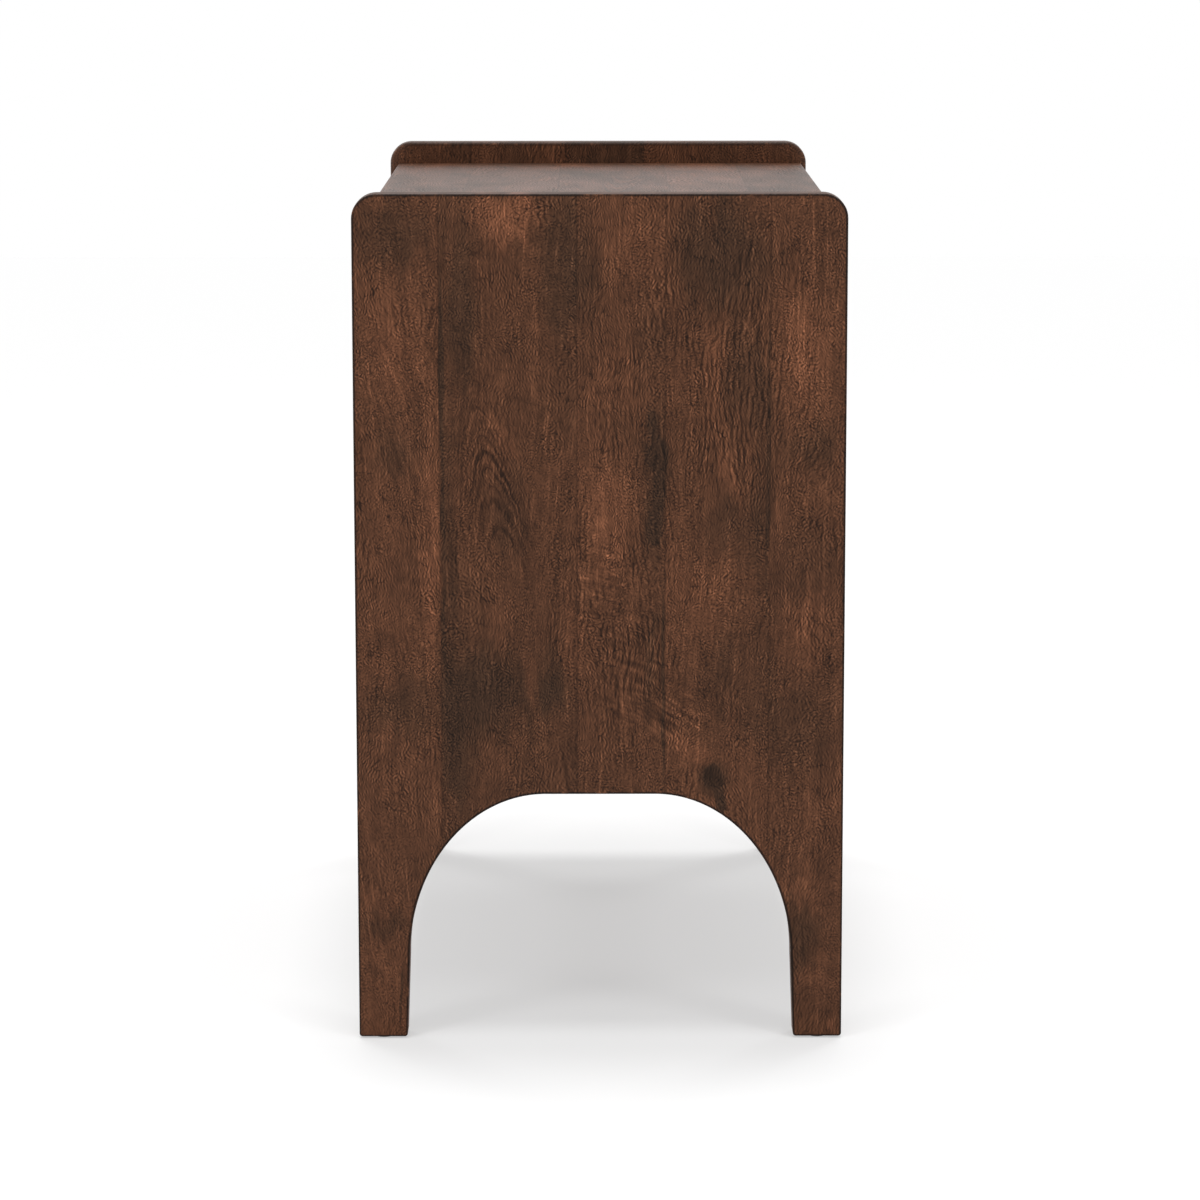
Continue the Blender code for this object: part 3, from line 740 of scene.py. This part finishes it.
# The middle of the arches, their leaning axis, how their lines wander, spread and widen, and where they show
PEAK_MIDDLE = (-93.0, 490.0)
PEAK_AXIS = (-0.168, -11.0)
PEAK_WANDER = (7.0, 11.0)
PEAK_CURVE = 0.11
PEAK_SLOPE = 0.40
PEAK_WIDEN = 0.14
PEAK_ZONE_MIDDLE = (10.0, 500.0)
PEAK_ZONE_SIZE = (54.0, 130.0)
FINE_RINGS = (0.34, 0.03)
FINE_RING_STRENGTH = 1.3


def cathedral(graph, place):
    """Nested pointed arches of late wood about an axis that leans a little, and where they show."""
    across, along = graph.separate(place)[:2]
    wander = graph.separate(graph.noise(graph.scaled(place, 14, 22, 5.0), detail=4, rough=0.7)[1])
    axis = graph.maths("MULTIPLY_ADD", along, *PEAK_AXIS)
    off = graph.plus(graph.maths("SUBTRACT", across, axis), graph.times(wander[0], PEAK_WANDER[0]))
    reach = graph.maths("ABSOLUTE", off)
    fall = graph.times(reach, graph.maths("MULTIPLY_ADD", reach, PEAK_CURVE, PEAK_SLOPE))
    rings = graph.plus(along, fall, graph.times(wander[1], PEAK_WANDER[1]))
    widen = graph.maths("MULTIPLY_ADD", reach, PEAK_WIDEN, 1.0)
    fine = graph.combine(graph.times(rings, FINE_RINGS[0]), graph.times(off, FINE_RINGS[1]))
    total = graph.times(graph.noise(fine, detail=2)[0], FINE_RING_STRENGTH)
    for apex, width, strength in PEAKS:
        gap = graph.maths("ABSOLUTE", graph.maths("DIVIDE", graph.maths("SUBTRACT", rings, apex), widen))
        total = graph.plus(total, graph.smooth(gap, width, 0.0, 0.0, strength))
    aside = graph.times(graph.plus(off, -PEAK_ZONE_MIDDLE[0]), 1 / PEAK_ZONE_SIZE[0])
    above = graph.times(graph.plus(along, -PEAK_ZONE_MIDDLE[1]), 1 / PEAK_ZONE_SIZE[1])
    shown = graph.smooth(graph.vector("LENGTH", graph.combine(aside, above)), 1.0, 0.5)
    breaks = graph.cell_noise(place, 5, 16, 9.0, detail=2, rough=0.6)
    broken = graph.smooth(breaks, -0.2, 0.15, 0.35, 1.15)
    return graph.times(total, shown, broken), shown


def strokes(graph, place, lean, wide, long):
    """Short strokes that lean from the grain by an angle."""
    turned = graph.seen_from(place, (wide, long), lean=lean)
    return graph.noise(turned, detail=1.5, rough=0.6)[0]


def near_panel_detail(graph, place):
    """The stain, marks, curl, dash and calm that show on the near panel."""
    across, along = graph.separate(place)[:2]
    level = graph.combine(across, along)
    stain = graph.plus(spread(graph, ragged(graph, level, *BROAD_RAGGED), PANEL_STAIN),
                       spread(graph, ragged(graph, level, *FINE_RAGGED), PANEL_CORES, FIRM_EDGE))
    marks, calm = cathedral(graph, level)
    marks = graph.plus(marks, spread(graph, ragged(graph, level, *FINE_RAGGED), PANEL_KNOT, FIRM_EDGE))
    for lean, wide, long, strength, patch in SLANTS:
        shown = graph.times(spread(graph, level, (patch,)), strength)
        marks = graph.maths("MULTIPLY_ADD", strokes(graph, level, lean, wide, long), shown, marks)
    calm = graph.plus(calm, spread(graph, level, CALMED))
    return stain, marks, spread(graph, level, CURLY), spread(graph, level, DASHED), calm


def near_panel_wood():
    return stained_wood("right_panel_wood", UPRIGHT_GRAIN, PANEL_JOINTS, 3.0, near_panel_detail,
                        blotch=0.22, vary=0.20)


def peaked(middle, stretch):
    """Detail for a board with one group of pointed arches, stretched across and along about its middle."""
    start = [spot - size * old for spot, size, old in zip(middle, stretch, PEAK_MIDDLE)]

    def detail(graph, place):
        marks, calm = cathedral(graph, graph.seen_from(place, stretch, start))
        return 0.0, marks, 0.0, 0.0, calm

    return detail


def left_panel_wood():
    joints = (-122.0, -31.0, 44.0, 129.0)
    return stained_wood("left_panel_wood", UPRIGHT_GRAIN, joints, 31.0, peaked((86, 430), (0.78, 1.25)))


def top_wood():
    joints = (-118.0, -36.0, 62.0, 131.0)
    detail = peaked((14, 60), (0.88, 2.5))
    return stained_wood("top_wood", LEVEL_GRAIN, joints, 47.0, detail, tone=-0.12, rough=0.40, gloss=0.20)


def bottom_wood():
    return stained_wood("bottom_wood", LEVEL_GRAIN, (-96.0, 8.0, 104.0), 59.0)


def rail_wood():
    return stained_wood("rail_wood", LEVEL_GRAIN, (), 67.0)


def face_wood(drawer, joint, seed, middle, stretch):
    return stained_wood(f"{drawer}_face_wood", FACE_GRAIN, (joint,), seed, peaked(middle, stretch))


# Other materials

PALE_WOOD = ((0.1, (0.23, 0.132, 0.066)), (0.5, (0.33, 0.205, 0.110)), (0.95, (0.42, 0.280, 0.160)))
PLY_DARK = (0.30, 0.19, 0.10)
PLY_LIGHT = (0.43, 0.29, 0.165)
ZINC = (0.50, 0.505, 0.515)
BALL_STEEL = (0.56, 0.57, 0.59)
NYLON = (0.018, 0.018, 0.019)
ZINC_ROUGH = 0.36
BALL_ROUGH = 0.2

# Plies of the drawer bases and the back, in radians per millimetre
BASE_PLIES = 2.6
BACK_PLIES = 2.1

# How far the figure and the end grain darken pale wood, as logarithms of brightness
PALE_FIGURE = 0.38
PALE_ENDS = -0.42

# Depths of fine relief, in metres
PALE_DEPTH = 0.00008
VENEER_DEPTH = 0.00006
ROLLED_DEPTH = 0.00003
MOULDED_DEPTH = 0.00004


def plain_wood(name, grain, seed):
    """Unstained pale hardwood under a clear coat."""
    material, graph, shader = new_material(name)
    place, end_grain = board_place(graph, grain)
    flat = stave_shift(graph, place, (), seed)[0]
    figure = graph.add("ShaderNodeGroup")
    figure.node_tree = FIGURE
    graph.put(figure.inputs["Place"], flat)
    band = graph.cell_noise(flat, 9, 300, 1.0, detail=3, rough=0.6)
    level = graph.plus(0.5, graph.times(band, 1.2), graph.times(figure.outputs["Tone"], 0.8))
    base = graph.ramp(level, PALE_WOOD)
    ends = graph.smooth(end_grain, *END_GRAIN)
    marks = graph.plus(graph.times(figure.outputs["Figure"], PALE_FIGURE), graph.times(ends, PALE_ENDS))
    graph.put(shader.inputs["Base Color"], graph.shaded(base, marks))
    graph.put(shader.inputs["Roughness"], graph.plus(0.5, graph.times(figure.outputs["Pores"], 0.12)))
    graph.put(shader.inputs["Normal"], graph.bump(figure.outputs["Figure"], PALE_DEPTH))
    return material


def plywood(name, grain, seed, dark, light, plies, gloss=0.3):
    """Thin plywood: a rotary-cut face veneer, and dark and pale plies on its edges."""
    material, graph, shader = new_material(name)
    place = board_place(graph, grain)[0]
    through = graph.separate(place)[2]
    shifted = graph.vector("ADD", place, (seed * 310.0, seed * 170.0, 0.0))
    drift = graph.noise(graph.scaled(shifted, 120, 320), detail=2)[1]
    bent = graph.vector("MULTIPLY_ADD", drift, (36.0, 0.0, 0.0), shifted)
    wide = graph.cell_noise(bent, 26, 420, 2.0, detail=3, rough=0.6)
    fine = graph.cell_noise(bent, 1.8, 60, 4.0, detail=2, rough=0.6)
    rings = graph.maths("SINE", graph.times(graph.cell_noise(bent, 70, 520, 8.0, detail=1), 46.0))
    level = graph.plus(0.5, graph.times(wide, 0.9), graph.times(fine, 0.5), graph.times(rings, 0.12))
    veneer = graph.ramp(level, [(0.15, dark), (0.85, light)])
    layer = graph.maths("SINE", graph.times(through, plies))
    edge = graph.ramp(graph.maths("MULTIPLY_ADD", layer, 0.5, 0.5), [(0.3, dark), (0.7, light)])
    facing = graph.add("ShaderNodeTexCoord").outputs["Normal"]
    flatness = graph.maths("ABSOLUTE", graph.separate(facing)[grain[2]])
    colour = graph.tint(graph.smooth(flatness, 0.3, 0.7), edge, veneer)
    graph.put(shader.inputs["Base Color"], colour)
    graph.put(shader.inputs["Roughness"], graph.maths("MULTIPLY_ADD", fine, 0.2, 0.55))
    shader.inputs["Specular IOR Level"].default_value = gloss
    graph.put(shader.inputs["Normal"], graph.bump(graph.plus(fine, graph.times(wide, 0.4)), VENEER_DEPTH))
    return material


def metal(name, colour, rough, grain):
    """Plated or polished steel with faint rolling lines and a cloudy surface."""
    material, graph, shader = new_material(name)
    place = board_place(graph, grain)[0]
    lines = graph.cell_noise(place, 0.5, 40, 1.0, detail=2, flat=False)
    cloud = graph.cell_noise(place, 9, 16, 3.0, detail=3, flat=False)
    marks = graph.plus(graph.times(lines, 0.25), graph.times(cloud, 0.35))
    duller = tuple(0.86 * channel for channel in colour)
    base = graph.ramp(graph.maths("ADD", cloud, 0.5), ((0.3, colour), (0.75, duller)))
    graph.put(shader.inputs["Base Color"], graph.shaded(base, marks))
    shader.inputs["Metallic"].default_value = 1.0
    roughness = graph.plus(rough, graph.times(cloud, 0.22), graph.times(lines, 0.1))
    graph.put(shader.inputs["Roughness"], roughness)
    graph.put(shader.inputs["Normal"], graph.bump(lines, ROLLED_DEPTH))
    return material


def plastic(name, colour):
    """Moulded nylon with a faint mottle and a fine spark-eroded texture."""
    material, graph, shader = new_material(name)
    place = board_place(graph, UPRIGHT_GRAIN)[0]
    mottle = graph.cell_noise(place, 4, 4, detail=2, flat=False)
    fine = graph.cell_noise(place, 0.35, 0.35, 2.0, detail=1, flat=False)
    marks = graph.plus(graph.times(mottle, 0.3), graph.times(fine, 0.15))
    paler = tuple(1.25 * channel for channel in colour)
    base = graph.ramp(graph.maths("ADD", mottle, 0.5), ((0.2, colour), (0.8, paler)))
    graph.put(shader.inputs["Base Color"], graph.shaded(base, marks))
    graph.put(shader.inputs["Roughness"], graph.maths("MULTIPLY_ADD", fine, 0.15, 0.42))
    graph.put(shader.inputs["Normal"], graph.bump(fine, MOULDED_DEPTH))
    return material


# Case

def panel_outline(low, high):
    """A side panel seen from its side: Y across and Z up."""
    edge = high.y
    foot = edge - FOOT_WIDTH
    leg = foot - LEG_TAPER
    spring = ARCH_HEIGHT - SHOULDER_HEIGHT
    radii = (leg - ARCH_FLAT / 2, SHOULDER_HEIGHT)
    shoulder = ellipse((ARCH_FLAT / 2, spring), radii, 90, 0, SHOULDER_STEPS, -1)
    front_foot = [(-edge, low.z, FOOT_CORNER), (-foot, low.z, FOOT_CORNER)]
    back_foot = [(foot, low.z, FOOT_CORNER), (edge, low.z, FOOT_CORNER)]
    top = [(edge, high.z, CORNER_RADIUS), (-edge, high.z, CORNER_RADIUS)]
    return outline_of(front_foot + mirrored(shoulder) + shoulder + back_foot + top)


def inner_round(point, normal):
    """The round on the inner arris: large on the front and back edges, small on the arch and at the feet."""
    on_edge = abs(point.x) > EDGE_ZONE and normal.x * point.x > 0
    above = point.y > ARCH_HEIGHT + ABOVE_ARCH
    if not on_edge and not above:
        return FOOT_ROUND if point.y < FOOT_ZONE else ARCH_ROUND
    side = FRONT_ROUND if normal.x < 0 else BACK_ROUND
    radius = TOP_ROUND + (side - TOP_ROUND) * normal.x ** 2
    fade = min(1, point.y / ROUND_FADE)
    fade = fade * fade * (3 - 2 * fade)
    return FOOT_ROUND + (radius - FOOT_ROUND) * fade


def outer_round(point, normal):
    return FOOT_ROUND if point.y < FOOT_ZONE else OUTER_ROUND


def make_side_panel(side, material):
    node = f"{side}_side_panel"
    low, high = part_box(node)
    rounds = (inner_round, outer_round) if side == "right" else (outer_round, inner_round)
    mesh = plate(f"{side}_panel", panel_outline(low, high), (low.x, high.x), rounds, SIDE_VIEW)
    add_piece(f"{side}_panel", mesh, material, "case", "stained_wood", node)


def make_long_board(name, node, material):
    """A board that spans the case, with its long arrises rounded."""
    low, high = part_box(node)
    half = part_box("right_side_panel")[0].x - BUTT_ROUND / 2
    outline = box_outline((low.y, low.z), (high.y, high.z), BOARD_ROUND)
    butt = same_round(BUTT_ROUND)
    mesh = plate(name, outline, (-half, half), (butt, butt), SIDE_VIEW)
    add_piece(name, mesh, material, "case", "stained_wood", node)


# Drawers

def face_outline(low, high):
    """A drawer face seen from the front: X across and Z up, with its finger scoop."""
    lip_z = high.z - SCOOP_LIP
    radii = ((SCOOP_WIDTH - SCOOP_FLAT) / 2, SCOOP_DEPTH - SCOOP_LIP)
    hollow = ellipse((SCOOP_FLAT / 2, lip_z), radii, -90, 0, ARC_STEPS * 2, -1)
    lip_centre = (SCOOP_WIDTH / 2 + SCOOP_LIP, lip_z)
    lip = ellipse(lip_centre, (SCOOP_LIP, SCOOP_LIP), 180, 90, ARC_STEPS)
    scoop = hollow + lip[1:]
    left = [(low.x, low.z, FACE_CORNER), (low.x, high.z, FACE_CORNER)]
    right = [(high.x, high.z, FACE_CORNER), (high.x, low.z, FACE_CORNER)]
    return outline_of((left + mirrored(scoop) + scoop + right)[::-1])


def make_face(drawer, material):
    node = f"{drawer}_drawer_face"
    low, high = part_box(node)
    rounds = (same_round(FACE_BACK_ROUND), same_round(FACE_ROUND))
    mesh = plate(f"{drawer}_face", face_outline(low, high), (-high.y, -low.y), rounds, FRONT_VIEW)
    add_piece(f"{drawer}_face", mesh, material, f"{drawer}_drawer", "stained_wood", node)


def cross_outline(reach, half):
    """A cross recess seen from above, with three points on each of its twelve edges."""
    corners = []
    for quarter in range(4):
        turn = Matrix.Rotation(math.pi / 2 * quarter, 2)
        corners += [turn @ Vector(spot) for spot in ((reach, -half), (reach, half), (half, half))]
    points = []
    for here, after in zip(corners, corners[1:] + corners[:1]):
        points += [here.lerp(after, i / 3) for i in range(3)]
    return points


def add_screw(bm, place, turn, facing):
    """A pan head with a cross recess; facing is the sign of the way it points through the board."""
    cross = cross_outline(SCREW_RADIUS * RECESS_REACH, SCREW_RADIUS * RECESS_HALF)
    flat_rings = [([spot.normalized() * SCREW_RADIUS * width for spot in cross], height)
                  for width, height in SCREW_PROFILE]
    flat_rings += [(cross, 1.0), (cross, RECESS_FLOOR)]
    rings = []
    for ring, height in flat_rings:
        rise = SCREW_HEIGHT * height * facing
        rings.append([place + turn @ Vector((spot.x, spot.y, rise)) for spot in ring])
    add_rings(bm, rings)


def make_screws(drawer, material):
    """The screws that hold a drawer to its slides and its face to the box."""
    bm = bmesh.new()
    for side, sign in SIDES.items():
        low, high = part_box(f"{drawer}_{side}_slide_inner")
        web = (low.x if sign > 0 else high.x) + sign * SLIDE_WEB
        for share in SLIDE_SCREWS:
            place = Vector((web, low.y + (high.y - low.y) * share, (low.z + high.z) / 2))
            add_screw(bm, place, SIDE_VIEW, sign)
    low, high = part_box(f"{drawer}_drawer_front")
    for across in FACE_SCREWS:
        for up in FACE_SCREWS:
            place = Vector((low.x + (high.x - low.x) * across, high.y, low.z + (high.z - low.z) * up))
            add_screw(bm, place, FRONT_VIEW, -1)
    mesh = smooth_mesh(f"{drawer}_screws", bm)
    mesh.set_sharp_from_angle(angle=math.radians(SCREW_SHARP))
    add_piece(f"{drawer}_screws", mesh, material, f"{drawer}_drawer", "zinc_steel")


def dress(node, material):
    """Gives a CAD node that keeps its shape a better material."""
    slots = cad[node].data.materials
    slots.clear()
    slots.append(material)


def dress_drawers():
    steel = metal("zinc_plated_steel", ZINC, ZINC_ROUGH, DEPTH_GRAIN)
    bright = metal("ball_bearing_steel", BALL_STEEL, BALL_ROUGH, DEPTH_GRAIN)
    base = plywood("drawer_base_plywood", LEVEL_GRAIN, 2, PLY_DARK, PLY_LIGHT, BASE_PLIES)
    for i, drawer in enumerate(DRAWERS):
        across = plain_wood(f"{drawer}_end_boards", FACE_GRAIN, 11.0 + i)
        along = plain_wood(f"{drawer}_side_boards", DEPTH_GRAIN, 17.0 + i)
        for board in ("front", "back"):
            dress(f"{drawer}_drawer_{board}", across)
        for side in SIDES:
            dress(f"{drawer}_drawer_{side}_side", along)
            for member in ("outer", "middle", "inner"):
                dress(f"{drawer}_{side}_slide_{member}", steel)
            for cage in ("outer_cage", "inner_cage"):
                dress(f"{drawer}_{side}_slide_{cage}", bright)
        dress(f"{drawer}_drawer_base", base)
        make_screws(drawer, bright)


def dress_case():
    back = plywood("stained_back_plywood", FACE_GRAIN, 5, DEEP_STAIN, WARM_STAIN, BACK_PLIES, GLOSS)
    dress("back_panel", back)
    dowel = plain_wood("dowel_wood", LEVEL_GRAIN, 23.0)
    nylon = plastic("black_nylon", NYLON)
    for side in SIDES:
        for end in ("front", "back"):
            dress(f"{side}_{end}_rail_dowel", dowel)
            dress(f"{end}_{side}_foot_glide", nylon)


# Floor, light and camera

FLOOR_SIZE = 14.0
FLOOR_COLOUR = (0.80, 0.80, 0.80, 1)
FLOOR_GLOW = 0.46
FLOOR_SHADE = (0.46, 0.46, 0.46, 1)
WORLD_LIGHT = 0.50
OVERHEAD_SPREAD = 16.0
OVERHEAD_LIGHTS = {"overhead_far": (-10.0, 1.4), "overhead_near": (9.0, 0.7)}
CORNER_LAMP = (1.9, 1.6, 1.9)
CORNER_LAMP_TARGET = (0, 0, 0.2)
CORNER_LAMP_SIZE = 0.7
CORNER_LAMP_POWER = 10.0


def seen_directly(graph):
    """1 for the camera and for mirror-like and clear surfaces, 0 for the light that falls on the object."""
    path = graph.add("ShaderNodeLightPath")
    seen = graph.maths("MAXIMUM", path.outputs["Is Camera Ray"], path.outputs["Is Glossy Ray"])
    return graph.maths("MAXIMUM", seen, path.outputs["Is Transmission Ray"])


def make_floor():
    bm = bmesh.new()
    bmesh.ops.create_grid(bm, x_segments=1, y_segments=1, size=FLOOR_SIZE / 2)
    mesh = bpy.data.meshes.new("floor")
    bm.to_mesh(mesh)
    bm.free()
    floor = bpy.data.objects.new("floor", mesh)
    bpy.context.scene.collection.objects.link(floor)
    material, graph, shader = new_material("pale_floor")
    plain = graph.add("ShaderNodeBsdfDiffuse")
    plain.inputs["Color"].default_value = FLOOR_COLOUR
    shade = graph.add("ShaderNodeBsdfDiffuse")
    shade.inputs["Color"].default_value = FLOOR_SHADE
    glow = graph.add("ShaderNodeEmission")
    glow.inputs["Strength"].default_value = FLOOR_GLOW
    lit = graph.add("ShaderNodeAddShader")
    graph.put(lit.inputs[0], shade.outputs[0])
    graph.put(lit.inputs[1], glow.outputs[0])
    choice = graph.add("ShaderNodeMixShader")
    graph.put(choice.inputs[0], seen_directly(graph))
    graph.put(choice.inputs[1], plain.outputs[0])
    graph.put(choice.inputs[2], lit.outputs[0])
    graph.put(material.node_tree.nodes["Material Output"].inputs["Surface"], choice.outputs[0])
    material.node_tree.nodes.remove(shader)
    mesh.materials.append(material)


def make_world():
    world = bpy.data.worlds.new("studio")
    world.use_nodes = True
    bpy.context.scene.world = world
    graph = Graph(world.node_tree)
    background = world.node_tree.nodes["Background"]
    background.inputs["Color"].default_value = (1, 1, 1, 1)
    graph.put(background.inputs["Strength"], graph.blend(seen_directly(graph), WORLD_LIGHT, 1.0))


def add_lamp(name, place, target, size, power):
    data = bpy.data.lights.new(name, "AREA")
    data.shape = "DISK"
    data.size = size
    data.energy = power
    lamp = bpy.data.objects.new(name, data)
    lamp.location = place
    lamp.rotation_euler = (Vector(target) - Vector(place)).to_track_quat("-Z", "Y").to_euler()
    bpy.context.scene.collection.objects.link(lamp)


def make_lights():
    for x in (-1, 1):
        for y in (-1, 1):
            name = f"corner_lamp_{'far' if x < 0 else 'near'}_{'front' if y < 0 else 'back'}"
            place = (x * CORNER_LAMP[0], y * CORNER_LAMP[1], CORNER_LAMP[2])
            add_lamp(name, place, CORNER_LAMP_TARGET, CORNER_LAMP_SIZE, CORNER_LAMP_POWER)
    for name, (tilt, strength) in OVERHEAD_LIGHTS.items():
        data = bpy.data.lights.new(name, "SUN")
        data.energy = strength
        data.angle = math.radians(OVERHEAD_SPREAD)
        overhead = bpy.data.objects.new(name, data)
        overhead.rotation_euler.y = math.radians(tilt)
        bpy.context.scene.collection.objects.link(overhead)


def make_camera():
    data = bpy.data.cameras.new("camera")
    data.lens = CAMERA_LENS
    data.sensor_width = CAMERA_SENSOR
    data.sensor_fit = "HORIZONTAL"
    camera = bpy.data.objects.new("camera", data)
    camera.location = CAMERA_PLACE
    turn = Matrix.Rotation(math.radians(90 - CAMERA_YAW), 3, "Z")
    tilt = Matrix.Rotation(math.radians(90 - CAMERA_PITCH), 3, "X")
    roll = Matrix.Rotation(math.radians(CAMERA_ROLL), 3, "Z")
    camera.rotation_euler = (turn @ tilt @ roll).to_euler()
    bpy.context.scene.collection.objects.link(camera)
    bpy.context.scene.camera = camera


# Build

make_side_panel("right", near_panel_wood())
make_side_panel("left", left_panel_wood())
make_long_board("top", "top_board", top_wood())
make_long_board("bottom", "bottom_board", bottom_wood())
make_long_board("rail", "divider_rail", rail_wood())
make_face("upper", face_wood("upper", 590.0, 71.0, (524, -70), (1.1, 2.4)))
make_face("lower", face_wood("lower", 303.0, 83.0, (370, 60), (1.15, -2.6)))
dress_drawers()
dress_case()
make_floor()
make_world()
make_lights()
make_camera()

scene = bpy.context.scene
scene.view_settings.view_transform = "Standard"
